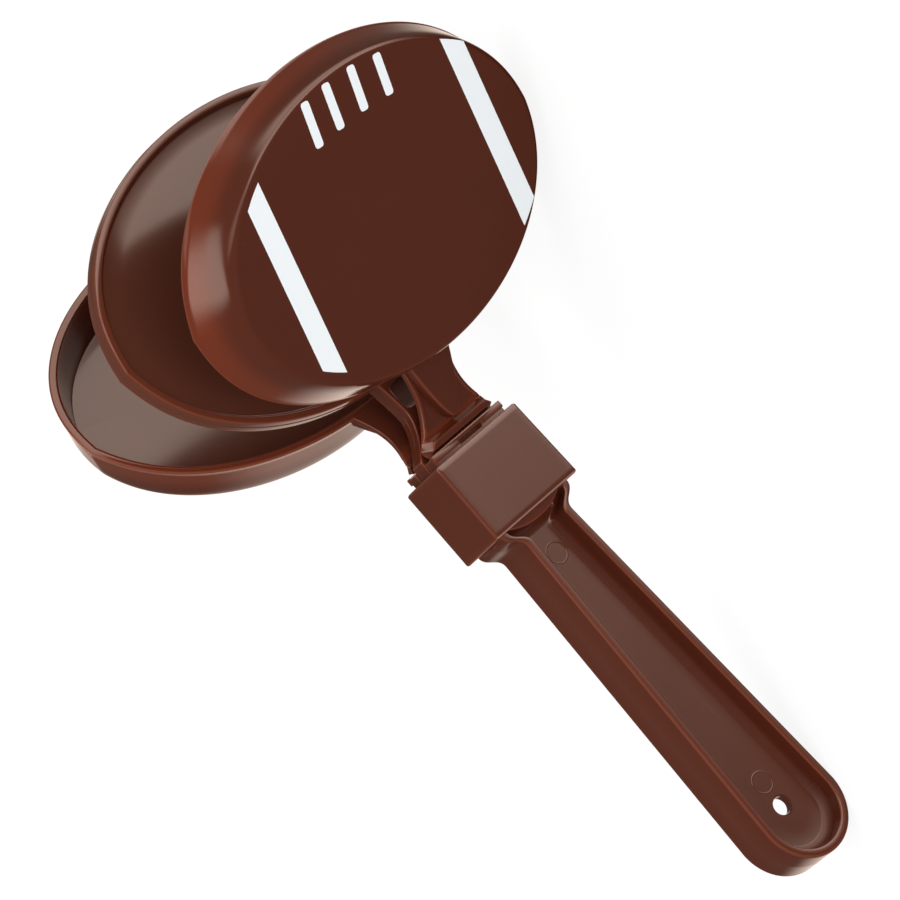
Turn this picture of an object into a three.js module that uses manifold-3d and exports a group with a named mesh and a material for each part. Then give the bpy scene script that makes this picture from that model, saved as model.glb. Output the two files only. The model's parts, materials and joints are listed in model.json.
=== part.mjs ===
// A football-shaped plastic hand clapper: a moulded handle that carries the middle paddle, two hollow
// shells that swing on film hinges in front of and behind it, and a square collar that holds their
// hinge tabs to the handle's stem.
//
// Millimetres. Every piece is drawn in the hand frame: x across the handle, y from front to back,
// z up the handle towards the paddles, with the origin in the middle of the collar's upper edge.
// At the end the clapper is laid on its side, +Z up.

import * as THREE from "three";
import { mergeVertices } from "three/addons/utils/BufferGeometryUtils.js";
import Module from "manifold-3d";

const wasm = await Module();
wasm.setup();

// Stack of three layers in the collar: front tab, stem, rear tab
const STACK_WIDTH = 22.6;
const STEM_THICKNESS = 4.2;
const TAB_THICKNESS = 3.2;
const LAYER_GAP = 0.3;
const TAB_STAND = 2.4; // from the collar's upper edge to the tab's top
const TAB_TONGUE = 2.0; // how far the tab's rounded lower end reaches below the collar
const TAB_SEAT_GAP = 0.3; // from the tab's lower corners to the grip's side walls

// Collar
const COLLAR_LENGTH = 19.0;
const COLLAR_WALL = 1.6;
const COLLAR_CORNER_RADIUS = 1.0;
const COLLAR_CLEARANCE = 0.3; // from the bore to the stack

// Grip: an H section, two side walls joined by a web
const GRIP_LENGTH = 94.0; // from the collar's lower edge to the end
const GRIP_NARROW_WIDTH = 14.9;
const GRIP_RUN = 0.15; // the collar slides on over the grip with this much room on each face
const GRIP_WALL = 2.0;
const GRIP_WEB = 2.4;
const SHOULDER_LENGTH = 5.0;
const GRIP_EDGE = 0.5;
const HOLE_DIAMETER = 4.2;
const HOLE_FROM_END = 13.9;

// Football outline that the three paddles share
const BALL_LENGTH = 102.8; // tip to tip, across the handle
const BALL_HEIGHT = 69.4;
const BALL_TIP = 0.9; // how far each tip stands out of the oval
const TIP_SPREAD = 5.0; // how far up and down from the tip its point fades
const NECK_LENGTH = 21.3; // from the collar to the paddles' lower edge

// Middle paddle: a thin tray on each side of one floor
const MIDDLE_RIM_WIDTH = 1.8;
const MIDDLE_FLOOR = 2.0;
const MIDDLE_DRAFT = 0.3;

// Front and rear shells
const SHELL_DEPTH = 11.4;
const SHELL_WALL = 1.8;
const SHELL_TAPER_TIP = 6.4; // the flat face ends this far inside the rim at the tips
const SHELL_TAPER_SIDE = 3.7; // and this far inside it above and below
const SHELL_EDGE_HEIGHT = 4.4; // height of the rounded edge between wall and face
const WALL_LEAN = 0.48; // the part of the taper that the straight wall takes

// Necks
const WAIST_WIDTH = 11.4;
const WAIST_HEIGHT = 15.5; // above the collar
const NECK_ROOT_WIDTH = 15.6; // where a neck ends inside its paddle's rim
const NECK_LOWER_POWER = 2.0; // how late the neck widens towards the hinge
const NECK_UPPER_POWER = 2.5; // and towards the paddle
const NECK_BITE = 1.2; // how far a neck reaches into its paddle's rim
const RECESS_WIDTH = 8.8; // in each side of the middle neck
const RECESS_BOTTOM = 14.0;
const RECESS_TOP = 20.0;
const RECESS_CORNER = 1.0;
const NECK_FLOOR = 1.5;
const FLANGE = 1.0; // thin edge of a shell's neck
const TONGUE_WIDTH = 12.8; // where the raised tongue of a shell's neck meets the bowl
const TONGUE_FOOT = 6.8; // height at which it has narrowed to nothing
const TONGUE_POWER = 0.62;
const BAR_FACE_TOP = 4.4; // top of the hinge bar's front face
const BAR_SLOPE_TOP = 6.1; // where the slope above it meets the flange

// Film hinges, drawn as a round bead in a groove
const BEAD_RADIUS = 0.8;
const BEAD_GAP = 0.3;
const BEAD_RISE = 0.4; // from the tab's top to the hinge line
const OPEN_ANGLE = 27.5; // how far the shells stand open
const V_ANGLE = 30; // the notch in front of the film, which closes when the shell is wide open
const HEEL_ANGLE = 30; // the notch behind it
const BAR_SQUARE = 1.0; // from the hinge line, the bar's ends are square this far

// Fineness
const RING_POINTS = 72;
const ARC_STEPS = 3;
const CURVE_STEPS = 10;
const NECK_STEPS = 7;

// Sizes that follow from these
const BORE_WIDTH = STACK_WIDTH + 2 * COLLAR_CLEARANCE;
const BORE_DEPTH = STEM_THICKNESS + 2 * (LAYER_GAP + TAB_THICKNESS + COLLAR_CLEARANCE);
const TAB_BACK = STEM_THICKNESS / 2 + LAYER_GAP; // from the middle plane to the tab's back
const HINGE_Y = TAB_BACK + TAB_THICKNESS / 2;
const HINGE_Z = TAB_STAND + BEAD_RISE;
const GRIP_DEPTH = BORE_DEPTH - 2 * GRIP_RUN;
const BALL_CENTRE = NECK_LENGTH + BALL_HEIGHT / 2;
const END_RADIUS = STACK_WIDTH / 2;
const NECK_START = HINGE_Z + BAR_SQUARE;
const NECK_END = NECK_LENGTH + NECK_BITE;
const RAD = Math.PI / 180;

// A closed three.js geometry as a solid that can be joined and cut.
function solid(geometry) {
  const bare = geometry.index ? geometry.toNonIndexed() : geometry.clone();
  bare.deleteAttribute("normal");
  bare.deleteAttribute("uv");
  const merged = mergeVertices(bare, 1e-4);
  return new wasm.Manifold(
    new wasm.Mesh({
      numProp: 3,
      vertProperties: new Float32Array(merged.attributes.position.array),
      triVerts: new Uint32Array(merged.index.array),
    }),
  );
}

function geometryOf(body) {
  const mesh = body.getMesh();
  const geometry = new THREE.BufferGeometry();
  geometry.setAttribute("position", new THREE.BufferAttribute(new Float32Array(mesh.vertProperties), 3));
  geometry.setIndex(new THREE.BufferAttribute(new Uint32Array(mesh.triVerts), 1));
  geometry.computeVertexNormals();
  return geometry;
}

// A flat outline in x and z, made a plate from y = front to y = back, its edges broken by `edge`.
function plate(shape, front, back, edge = 0) {
  const geometry = new THREE.ExtrudeGeometry(shape, {
    depth: back - front - 2 * edge,
    curveSegments: CURVE_STEPS,
    bevelEnabled: edge > 0,
    bevelThickness: edge,
    bevelSize: edge,
    bevelOffset: -edge,
    bevelSegments: 1,
  });
  geometry.rotateX(Math.PI / 2);
  geometry.translate(0, back - edge, 0);
  return solid(geometry);
}

// A profile in y and z, made a bar across the handle.
function bar(points, width) {
  const shape = new THREE.Shape(points.map(([y, z]) => new THREE.Vector2(-z, y)));
  const geometry = new THREE.ExtrudeGeometry(shape, { depth: width, bevelEnabled: false });
  geometry.rotateY(Math.PI / 2);
  geometry.translate(-width / 2, 0, 0);
  return solid(geometry);
}

// A round bar across the handle.
function roundBar(radius, width, y, z) {
  const geometry = new THREE.CylinderGeometry(radius, radius, width, 24);
  geometry.rotateZ(Math.PI / 2);
  geometry.translate(0, y, z);
  return solid(geometry);
}

// The football outline at depth y, its tips and its sides drawn in by `tipIn` and `sideIn`:
// an oval whose ends run out into a blunt point.
function ballRing(tipIn, sideIn, y) {
  const oval = BALL_LENGTH / 2 - BALL_TIP - tipIn;
  const half = BALL_HEIGHT / 2 - sideIn;
  return Array.from({ length: RING_POINTS }, (_, i) => {
    const turn = (2 * Math.PI * i) / RING_POINTS;
    const c = Math.cos(turn);
    const rise = half * Math.sin(turn);
    const point = BALL_TIP * Math.exp(-Math.abs(rise) / TIP_SPREAD) * Math.sign(c);
    return new THREE.Vector3(oval * c + point, y, BALL_CENTRE + rise);
  });
}

// A closed skin over rings that go from a first middle point, out round an edge and back to a last
// one. Its faces point out where the rings go from the front over the edge to the back.
function skin(rings, first, last) {
  const points = [first, ...rings.flat(), last];
  const index = [];
  const at = (ring, i) => 1 + ring * RING_POINTS + (i % RING_POINTS);
  for (let i = 0; i < RING_POINTS; i += 1) {
    index.push(0, at(0, i), at(0, i + 1));
    index.push(points.length - 1, at(rings.length - 1, i + 1), at(rings.length - 1, i));
  }
  for (let ring = 0; ring + 1 < rings.length; ring += 1)
    for (let i = 0; i < RING_POINTS; i += 1) {
      index.push(at(ring, i), at(ring + 1, i), at(ring, i + 1));
      index.push(at(ring, i + 1), at(ring + 1, i), at(ring + 1, i + 1));
    }
  const geometry = new THREE.BufferGeometry().setFromPoints(points);
  geometry.setIndex(index);
  return solid(geometry);
}

// Half the width of a neck at height z: full beside the hinge, drawn in to the waist and wider again
// towards the paddle.
function neckHalf(z) {
  const waist = WAIST_WIDTH / 2;
  if (z <= NECK_START) return STACK_WIDTH / 2;
  if (z < WAIST_HEIGHT) {
    const down = (WAIST_HEIGHT - z) / (WAIST_HEIGHT - NECK_START);
    return waist + (STACK_WIDTH / 2 - waist) * down ** NECK_LOWER_POWER;
  }
  const up = (z - WAIST_HEIGHT) / (NECK_END - WAIST_HEIGHT);
  return waist + (NECK_ROOT_WIDTH / 2 - waist) * up ** NECK_UPPER_POWER;
}

// The neck's outline from height `bottom` up into its paddle, drawn in by `inset` on each side.
function neckShape(bottom, inset) {
  const start = Math.max(bottom, NECK_START);
  const lower = Array.from(
    { length: NECK_STEPS },
    (_, i) => start + ((WAIST_HEIGHT - start) * i) / NECK_STEPS,
  );
  const upper = Array.from(
    { length: NECK_STEPS + 1 },
    (_, i) => WAIST_HEIGHT + ((NECK_END - WAIST_HEIGHT) * i) / NECK_STEPS,
  );
  const heights = [...(bottom < start ? [bottom] : []), ...lower, ...upper];
  const right = heights.map((z) => new THREE.Vector2(neckHalf(z) - inset, z));
  const left = right.map((p) => new THREE.Vector2(-p.x, p.y)).reverse();
  return new THREE.Shape([...right, ...left]);
}

// The recess in the middle neck: a rounded rectangle.
function recessShape() {
  const x = RECESS_WIDTH / 2 - RECESS_CORNER;
  const low = RECESS_BOTTOM + RECESS_CORNER;
  const high = RECESS_TOP - RECESS_CORNER;
  const shape = new THREE.Shape();
  shape.moveTo(x + RECESS_CORNER, low);
  shape.absarc(x, high, RECESS_CORNER, 0, Math.PI / 2);
  shape.absarc(-x, high, RECESS_CORNER, Math.PI / 2, Math.PI);
  shape.absarc(-x, low, RECESS_CORNER, Math.PI, 1.5 * Math.PI);
  shape.absarc(x, low, RECESS_CORNER, 1.5 * Math.PI, 2 * Math.PI);
  return shape;
}

// The raised tongue of a shell's neck: as wide as the neck at the bowl, nothing at its foot.
function tongueShape() {
  const heights = Array.from(
    { length: 2 * NECK_STEPS + 1 },
    (_, i) => TONGUE_FOOT + (NECK_END - TONGUE_FOOT) * (i / (2 * NECK_STEPS)) ** 2,
  );
  const right = heights.map((z) => {
    const share = (z - TONGUE_FOOT) / (NECK_END - TONGUE_FOOT);
    return new THREE.Vector2((TONGUE_WIDTH / 2) * share ** TONGUE_POWER, z);
  });
  const left = right.slice(1).map((p) => new THREE.Vector2(-p.x, p.y)).reverse();
  return new THREE.Shape([...right, ...left]);
}

// The grip's outline, drawn in by `inset`: a hollow-curved shoulder under the collar, sides that
// widen steadily and a full round end.
function gripShape(inset, top) {
  const full = STACK_WIDTH / 2 - inset;
  const narrow = GRIP_NARROW_WIDTH / 2 - inset;
  const shoulder = -COLLAR_LENGTH - SHOULDER_LENGTH;
  const endCentre = -COLLAR_LENGTH - GRIP_LENGTH + END_RADIUS;
  const radius = END_RADIUS - inset;
  const shape = new THREE.Shape();
  shape.moveTo(full, top);
  shape.bezierCurveTo(full, shoulder + SHOULDER_LENGTH / 2, narrow, shoulder + SHOULDER_LENGTH / 2, narrow, shoulder);
  shape.lineTo(radius, endCentre);
  shape.absarc(0, endCentre, radius, 0, -Math.PI, true);
  shape.lineTo(-narrow, shoulder);
  shape.bezierCurveTo(-narrow, shoulder + SHOULDER_LENGTH / 2, -full, shoulder + SHOULDER_LENGTH / 2, -full, top);
  shape.closePath();
  return shape;
}

// Middle paddle: each side is a shallow tray inside a rim, with the parting line round its edge
function middlePaddle() {
  const half = STEM_THICKNESS / 2;
  const floor = MIDDLE_FLOOR / 2;
  const rim = MIDDLE_RIM_WIDTH;
  const rings = [
    ballRing(rim + 2 * MIDDLE_DRAFT, rim + 2 * MIDDLE_DRAFT, -floor),
    ballRing(rim + MIDDLE_DRAFT, rim + MIDDLE_DRAFT, -half),
    ballRing(MIDDLE_DRAFT, MIDDLE_DRAFT, -half),
    ballRing(0, 0, 0),
    ballRing(MIDDLE_DRAFT, MIDDLE_DRAFT, half),
    ballRing(rim + MIDDLE_DRAFT, rim + MIDDLE_DRAFT, half),
    ballRing(rim + 2 * MIDDLE_DRAFT, rim + 2 * MIDDLE_DRAFT, floor),
  ];
  return skin(rings, new THREE.Vector3(0, -floor, BALL_CENTRE), new THREE.Vector3(0, floor, BALL_CENTRE));
}

// Handle: grip, stem and middle paddle are one moulding
function handle() {
  const half = GRIP_DEPTH / 2;
  const top = -COLLAR_LENGTH;
  const channelTop = top + GRIP_WALL; // past the grip's top, so that the channels are open there
  const web = GRIP_WEB / 2;
  const grip = plate(gripShape(0, top), -half, half, GRIP_EDGE)
    .subtract(plate(gripShape(GRIP_WALL, channelTop), -GRIP_DEPTH, -web))
    .subtract(plate(gripShape(GRIP_WALL, channelTop), web, GRIP_DEPTH));
  const stemBottom = top - SHOULDER_LENGTH / 2;
  const stem = plate(neckShape(top, 0), -STEM_THICKNESS / 2, STEM_THICKNESS / 2)
    .subtract(plate(recessShape(), -STEM_THICKNESS, -NECK_FLOOR / 2))
    .subtract(plate(recessShape(), NECK_FLOOR / 2, STEM_THICKNESS));
  const footShape = new THREE.Shape();
  const footHalf = GRIP_NARROW_WIDTH / 2 - GRIP_WALL / 2;
  footShape.moveTo(-footHalf, stemBottom);
  footShape.lineTo(footHalf, stemBottom);
  footShape.lineTo(footHalf, top + GRIP_WALL);
  footShape.lineTo(-footHalf, top + GRIP_WALL);
  footShape.closePath();
  const foot = plate(footShape, -STEM_THICKNESS / 2, STEM_THICKNESS / 2);
  const hole = new THREE.CylinderGeometry(HOLE_DIAMETER / 2, HOLE_DIAMETER / 2, GRIP_DEPTH, 24);
  hole.translate(0, 0, -COLLAR_LENGTH - GRIP_LENGTH + HOLE_FROM_END);
  return grip.add(foot).add(stem).add(middlePaddle()).subtract(solid(hole));
}

// Collar: a square sleeve round the stack
function collar() {
  const frame = (width, depth, radius) => {
    const shape = new THREE.Shape();
    const x = width / 2;
    const y = depth / 2;
    shape.moveTo(x, y - radius);
    shape.absarc(x - radius, y - radius, radius, 0, Math.PI / 2);
    shape.absarc(radius - x, y - radius, radius, Math.PI / 2, Math.PI);
    shape.absarc(radius - x, radius - y, radius, Math.PI, 1.5 * Math.PI);
    shape.absarc(x - radius, radius - y, radius, 1.5 * Math.PI, 2 * Math.PI);
    return shape;
  };
  const outer = frame(BORE_WIDTH + 2 * COLLAR_WALL, BORE_DEPTH + 2 * COLLAR_WALL, COLLAR_CORNER_RADIUS);
  const bore = frame(BORE_WIDTH, BORE_DEPTH, COLLAR_CORNER_RADIUS / 4);
  outer.holes.push(bore);
  const geometry = new THREE.ExtrudeGeometry(outer, {
    depth: COLLAR_LENGTH,
    curveSegments: 4,
    bevelEnabled: false,
  });
  geometry.translate(0, 0, -COLLAR_LENGTH);
  return solid(geometry);
}

// Hinge tab: the flat foot of a shell's moulding, held in the collar. Its rounded tongue hangs below
// the collar, and its top has the groove of the film hinge.
function hingeTab() {
  const half = STACK_WIDTH / 2;
  const seat = -COLLAR_LENGTH + TAB_SEAT_GAP;
  const tongue = half - GRIP_WALL - TAB_SEAT_GAP;
  const shape = new THREE.Shape();
  shape.moveTo(-half, TAB_STAND);
  shape.lineTo(-half, seat);
  shape.lineTo(-tongue, seat);
  shape.quadraticCurveTo(-tongue / 2, -COLLAR_LENGTH - TAB_TONGUE, 0, -COLLAR_LENGTH - TAB_TONGUE);
  shape.quadraticCurveTo(tongue / 2, -COLLAR_LENGTH - TAB_TONGUE, tongue, seat);
  shape.lineTo(half, seat);
  shape.lineTo(half, TAB_STAND);
  shape.closePath();
  return plate(shape, -TAB_BACK - TAB_THICKNESS, -TAB_BACK).subtract(
    roundBar(BEAD_RADIUS + BEAD_GAP, STACK_WIDTH + 2, -HINGE_Y, HINGE_Z),
  );
}

// The shell's bowl: rim in the plane of the tab's back, leaning wall, rounded edge and flat face
function bowl() {
  const rim = -TAB_BACK;
  const start = SHELL_DEPTH - SHELL_EDGE_HEIGHT;
  const ring = (share, thick, depth) =>
    ballRing(SHELL_TAPER_TIP * share + thick, SHELL_TAPER_SIDE * share + thick, rim - depth);
  const arc = Array.from({ length: ARC_STEPS }, (_, i) => ((i + 1) / (ARC_STEPS + 1)) * 90 * RAD);
  const edge = arc.map((t) =>
    ring(
      WALL_LEAN + (1 - WALL_LEAN) * (1 - Math.cos(t)),
      0,
      start + SHELL_EDGE_HEIGHT * Math.sin(t),
    ),
  );
  const inner = arc.map((t) =>
    ring(
      WALL_LEAN + (1 - WALL_LEAN) * (1 - Math.cos(t)),
      SHELL_WALL * Math.cos(t),
      start + (SHELL_EDGE_HEIGHT - SHELL_WALL) * Math.sin(t),
    ),
  );
  const rings = [
    ring(1, 0, SHELL_DEPTH),
    ...edge.reverse(),
    ring(WALL_LEAN, 0, start),
    ring(0, 0, 0),
    ring(0, SHELL_WALL, 0),
    ring(WALL_LEAN, SHELL_WALL, start),
    ...inner,
    ring(1, 0, SHELL_DEPTH - SHELL_WALL),
  ];
  return skin(
    rings,
    new THREE.Vector3(0, rim - SHELL_DEPTH, BALL_CENTRE),
    new THREE.Vector3(0, rim - SHELL_DEPTH + SHELL_WALL, BALL_CENTRE),
  );
}

// Shell: bowl, neck and the hinge bar with its bead, one moulding with the tab below it. The neck is
// a thin flange with a raised tongue on it.
function shell() {
  const front = -TAB_BACK - TAB_THICKNESS;
  const flange = -TAB_BACK - FLANGE;
  const half = TAB_THICKNESS / 2;
  const profile = [
    [-HINGE_Y, HINGE_Z],
    [-TAB_BACK, HINGE_Z + half * Math.tan(HEEL_ANGLE * RAD)],
    [-TAB_BACK, BAR_SLOPE_TOP],
    [flange, BAR_SLOPE_TOP],
    [front, BAR_FACE_TOP],
    [front, HINGE_Z + half * Math.tan(V_ANGLE * RAD)],
  ];
  const hingeBar = bar(profile, STACK_WIDTH).intersect(plate(neckShape(0, 0), 2 * front, 0));
  return plate(neckShape(NECK_START, 0), flange, -TAB_BACK)
    .add(plate(tongueShape(), front, -TAB_BACK))
    .add(bowl())
    .add(hingeBar)
    .add(roundBar(BEAD_RADIUS, STACK_WIDTH, -HINGE_Y, HINGE_Z));
}

const BROWN = 0x5a2c20;
const plastic = () => new THREE.MeshStandardMaterial({ color: BROWN, roughness: 0.38, metalness: 0 });

function piece(name, body, hinge = null) {
  const geometry = geometryOf(body);
  if (hinge) geometry.translate(-hinge.x, -hinge.y, -hinge.z);
  const mesh = new THREE.Mesh(geometry, plastic());
  mesh.name = name;
  return mesh;
}

// A shell hung on its hinge line and opened
function hungShell(name) {
  const line = new THREE.Vector3(0, -HINGE_Y, HINGE_Z);
  const hinge = new THREE.Group();
  hinge.position.copy(line);
  hinge.rotation.x = OPEN_ANGLE * RAD;
  hinge.add(piece(name, shell(), line));
  return hinge;
}

// The front half, or turned about the handle the rear half: a tab in the collar and a shell on it
function half(name, turn) {
  const group = new THREE.Group();
  group.rotation.z = turn;
  group.add(piece(name + "_hinge_tab", hingeTab()));
  group.add(hungShell(name + "_shell"));
  return group;
}

const hand = new THREE.Group();
hand.add(piece("handle", handle()));
hand.add(piece("collar", collar()));
hand.add(half("front", 0));
hand.add(half("rear", Math.PI));

// Lowest point of one named piece with the handle's axis raised by `rise` from the floor
function lowest(name, rise) {
  hand.rotation.y = Math.PI / 2 - rise;
  hand.updateMatrixWorld(true);
  return new THREE.Box3().setFromObject(hand.getObjectByName(name), true).min.z;
}

// The clapper lies on its side on the tips of both open shells and on the edge of the grip's end:
// the rise at which they touch the floor together is found by halving.
function restingRise() {
  let low = 2 * RAD;
  let high = 40 * RAD;
  for (let i = 0; i < 40; i += 1) {
    const middle = (low + high) / 2;
    if (lowest("front_shell", middle) < lowest("handle", middle)) low = middle;
    else high = middle;
  }
  return (low + high) / 2;
}

hand.rotation.y = Math.PI / 2 - restingRise();
hand.updateMatrixWorld(true);
const box = new THREE.Box3().setFromObject(hand, true);
const centre = box.getCenter(new THREE.Vector3());
hand.position.set(-centre.x, -centre.y, -box.min.z);

const clapper = new THREE.Group();
clapper.add(hand);

export default clapper;
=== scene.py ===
"""Visual model of a football-shaped plastic hand clapper, lying on its side with both shells open."""

import json
import math

import bmesh
import bpy
import numpy as np
from mathutils import Matrix, Vector


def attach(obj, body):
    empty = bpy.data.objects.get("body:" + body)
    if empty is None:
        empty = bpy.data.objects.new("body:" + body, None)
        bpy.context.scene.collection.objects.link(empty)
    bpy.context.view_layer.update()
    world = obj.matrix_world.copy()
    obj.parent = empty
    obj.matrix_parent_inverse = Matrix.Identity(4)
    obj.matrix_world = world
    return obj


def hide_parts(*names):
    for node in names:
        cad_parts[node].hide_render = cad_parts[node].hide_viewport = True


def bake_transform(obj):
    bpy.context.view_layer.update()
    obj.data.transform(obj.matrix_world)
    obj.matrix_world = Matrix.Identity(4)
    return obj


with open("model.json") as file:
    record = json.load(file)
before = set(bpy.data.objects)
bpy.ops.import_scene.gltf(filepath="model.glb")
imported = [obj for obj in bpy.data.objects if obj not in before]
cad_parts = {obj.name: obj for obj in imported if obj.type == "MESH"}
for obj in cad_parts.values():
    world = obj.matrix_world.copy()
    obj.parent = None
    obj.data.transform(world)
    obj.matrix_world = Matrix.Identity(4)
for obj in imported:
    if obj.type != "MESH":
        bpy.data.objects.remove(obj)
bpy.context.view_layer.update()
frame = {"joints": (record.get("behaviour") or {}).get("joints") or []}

# How it lies, and the camera
# The clapper lies on the tips of its shells and on the edge of its grip. Its pieces are drawn in the
# hand's frame, in millimetres: x across the handle, y front to back, z up the handle from the collar.
MM = 0.001
HINGE_Y = 4.0
HINGE_Z = 2.8
OPEN_ANGLE = math.radians(27.5)

hinge = next(j for j in frame["joints"] if j["name"] == "front_hinge")
ACROSS = np.array(hinge["axis"], float)
ACROSS /= np.linalg.norm(ACROSS)
BACK = np.array([0.0, 1.0, 0.0])
UP = np.cross(ACROSS, BACK)
HAND = np.stack([ACROSS, BACK, UP])
ORIGIN = np.array(hinge["pos_m"]) - MM * (np.array([0.0, -HINGE_Y, HINGE_Z]) @ HAND)


def laid(points):
    """Hand frame in millimetres to the row's frame in metres: the origin plus each part along its axis."""
    return ORIGIN + MM * (np.asarray(points, float) @ HAND)


def swung(points, side):
    """A closed front shell's points as they lie open: turned about the hinge line, which runs along x
    at y = -HINGE_Y and z = HINGE_Z. For side -1, the rear, they are then turned half round the handle."""
    x, y, z = np.moveaxis(np.asarray(points, float), -1, 0)
    y, z = y + HINGE_Y, z - HINGE_Z
    cos, sin = math.cos(OPEN_ANGLE), math.sin(OPEN_ANGLE)
    opened_y = y * cos - z * sin - HINGE_Y
    opened_z = y * sin + z * cos + HINGE_Z
    return np.stack([side * x, side * opened_y, opened_z], -1)


EYE = Vector((-0.231434, -1.092571, 0.795448))
LOOK = Vector((0.179488, 0.808975, -0.559771))
TOP_OF_VIEW = Vector((0.853809, -0.410748, -0.319839))
LENS = 260.0
SENSOR = 36.0
NEAREST = 0.05
FARTHEST = 50.0

right = LOOK.cross(TOP_OF_VIEW).normalized()
top = right.cross(LOOK).normalized()
lens = bpy.data.cameras.new("camera")
lens.lens = LENS
lens.sensor_width = SENSOR
lens.clip_start = NEAREST
lens.clip_end = FARTHEST
camera = bpy.data.objects.new("camera", lens)
bpy.context.scene.collection.objects.link(camera)
turn = Matrix((right, top, -LOOK.normalized())).transposed().to_4x4()
camera.matrix_world = Matrix.Translation(EYE) @ turn
bpy.context.scene.camera = camera

# Handle
# One injection moulding: an H-section grip, the flat stem that the collar holds, a neck with a recess
# in each side, and the middle paddle, a shallow tray on each side of one floor.
STACK_HALF = 11.3
STEM_HALF = 2.1
DRAFT = 0.3
PARTING = 0.12

BALL_HALF_LENGTH = 51.4
BALL_HALF_HEIGHT = 34.7
BALL_CENTRE = 56.0
TIP_POINT = 0.9
TIP_SPREAD = 5.0
RING_POINTS = 360
RIM_WIDTH = 1.8
RIM_EDGE = 0.3
TRAY_HALF = 1.0
TRAY_FILLET = 0.5
TRAY_RINGS = (0.0, 0.3, 0.6, 0.9)

STEM_FOOT = -19.6
STEM_TOP = 3.2
STEM_EDGE = 0.4
SEAM_FOOT_EDGE = 0.03
SEAM_CREST_EDGE = 0.05

NECK_START = 3.6
NECK_STEP = 0.3
NECK_END = 22.5
MIDDLE_NECK = {"foot": 11.3, "waist": 5.4, "waist_z": 13.5, "root": 6.5, "lower": 1.75, "upper": 1.2}
RECESS_HALF = 4.4
RECESS_LOW = 14.0
RECESS_HIGH = 20.0
RECESS_CORNER = 1.6
RECESS_FLOOR = 0.75
POCKET_DEPTHS = (0.0, 0.1, 0.35, 0.75, 0.92, 1.0, 1.3)
POCKET_GROWTH = (-0.4, -0.15, 0.0, 0.03, 0.12, 0.3, 0.9)

GRIP_TOP = -19.0
SHOULDER = 5.0
GRIP_NARROW = 7.45
GRIP_END = -101.7
GRIP_HALF_DEPTH = 5.75
GRIP_WALL = 2.0
GRIP_EDGE = 0.55
GRIP_INNER_EDGE = 0.4
GRIP_FLANK = 1.1
GRIP_SEAM_HALF = 1.6 * PARTING
GRIP_SEAM_RISE = 0.15 * PARTING
CHANNEL_FILLET = 2.0
WEB_HALF = 1.2
WEB_RISE = (-22.5, -20.5)
HOLE_RADIUS = 2.1
HOLE_HEIGHT = -99.1
HOLE_REACH = 0.6
HOLE_EDGE = 0.35
HOLE_FLARE = 0.25
PIN_MARKS = (-28.9, -92.8)
PIN_RADIUS = 2.45
PIN_WIDTH = 0.2
PIN_RISE = 0.055
MERGE = 1e-4
TINY = 1e-9
CORNER_REACH = 0.45
SHARP_ANGLE = math.radians(38)
EDGE_HIGHLIGHT_BEND = (0.6, 2.2)
SHORTEST = 0.1


def ease(value, low, high):
    """0 below low, 1 above high, and 3t^2 - 2t^3 between them."""
    t = np.clip((value - low) / (high - low), 0.0, 1.0)
    return t * t * (3.0 - 2.0 * t)


def arc(x, y, radius, start, end, steps=6):
    """Points on the circle about (x, y), from angle start to angle end in degrees."""
    turn = np.radians(np.linspace(start, end, steps))
    return np.stack([x + radius * np.cos(turn), y + radius * np.sin(turn)], -1)


def rounded(corners, radii, steps=5):
    """Closed outlines of shape (..., corners, 2) with each corner eased: a quadratic curve from
    `radius` before the corner to `radius` after it, but never past a share of the side, with the
    corner as its middle control point."""
    before = np.roll(corners, 1, axis=-2) - corners
    after = np.roll(corners, -1, axis=-2) - corners
    reach = np.broadcast_to(np.asarray(radii, float), corners.shape[:-1])[..., None]
    size = [np.maximum(np.linalg.norm(d, axis=-1, keepdims=True), TINY) for d in (before, after)]
    start = corners + before / size[0] * np.minimum(reach, size[0] * CORNER_REACH)
    end = corners + after / size[1] * np.minimum(reach, size[1] * CORNER_REACH)
    t = np.linspace(0.0, 1.0, steps)[:, None]
    start, middle, end = (a[..., None, :] for a in (start, corners, end))
    curve = (1 - t) ** 2 * start + 2 * t * (1 - t) * middle + t ** 2 * end
    return curve.reshape(*corners.shape[:-2], -1, 2)


def surface(name, rings, closed=True, ends="rings"):
    """A solid over a (rings, points, 3) array: a quad between each pair of neighbours, then a flat cap
    on the first and last ring, or where the lines are open on all their ends together."""
    count, around = rings.shape[:2]
    index = np.arange(count * around).reshape(count, around)
    left, right = (index, np.roll(index, -1, axis=1)) if closed else (index[:, :-1], index[:, 1:])
    faces = np.stack([left[:-1], left[1:], right[1:], right[:-1]], -1).reshape(-1, 4).tolist()
    if ends == "rings":
        faces += [index[0].tolist(), index[-1, ::-1].tolist()]
    if ends == "lines":
        faces.append(index[:, 0].tolist() + index[::-1, -1].tolist())
    mesh = bpy.data.meshes.new(name)
    mesh.from_pydata(rings.reshape(-1, 3).tolist(), [], faces)
    work = bmesh.new()
    work.from_mesh(mesh)
    bmesh.ops.remove_doubles(work, verts=work.verts, dist=MERGE)
    bmesh.ops.dissolve_degenerate(work, edges=work.edges, dist=MERGE)
    bmesh.ops.recalc_face_normals(work, faces=work.faces)
    work.to_mesh(mesh)
    work.free()
    solid = bpy.data.objects.new(name, mesh)
    bpy.context.scene.collection.objects.link(solid)
    return solid


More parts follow.
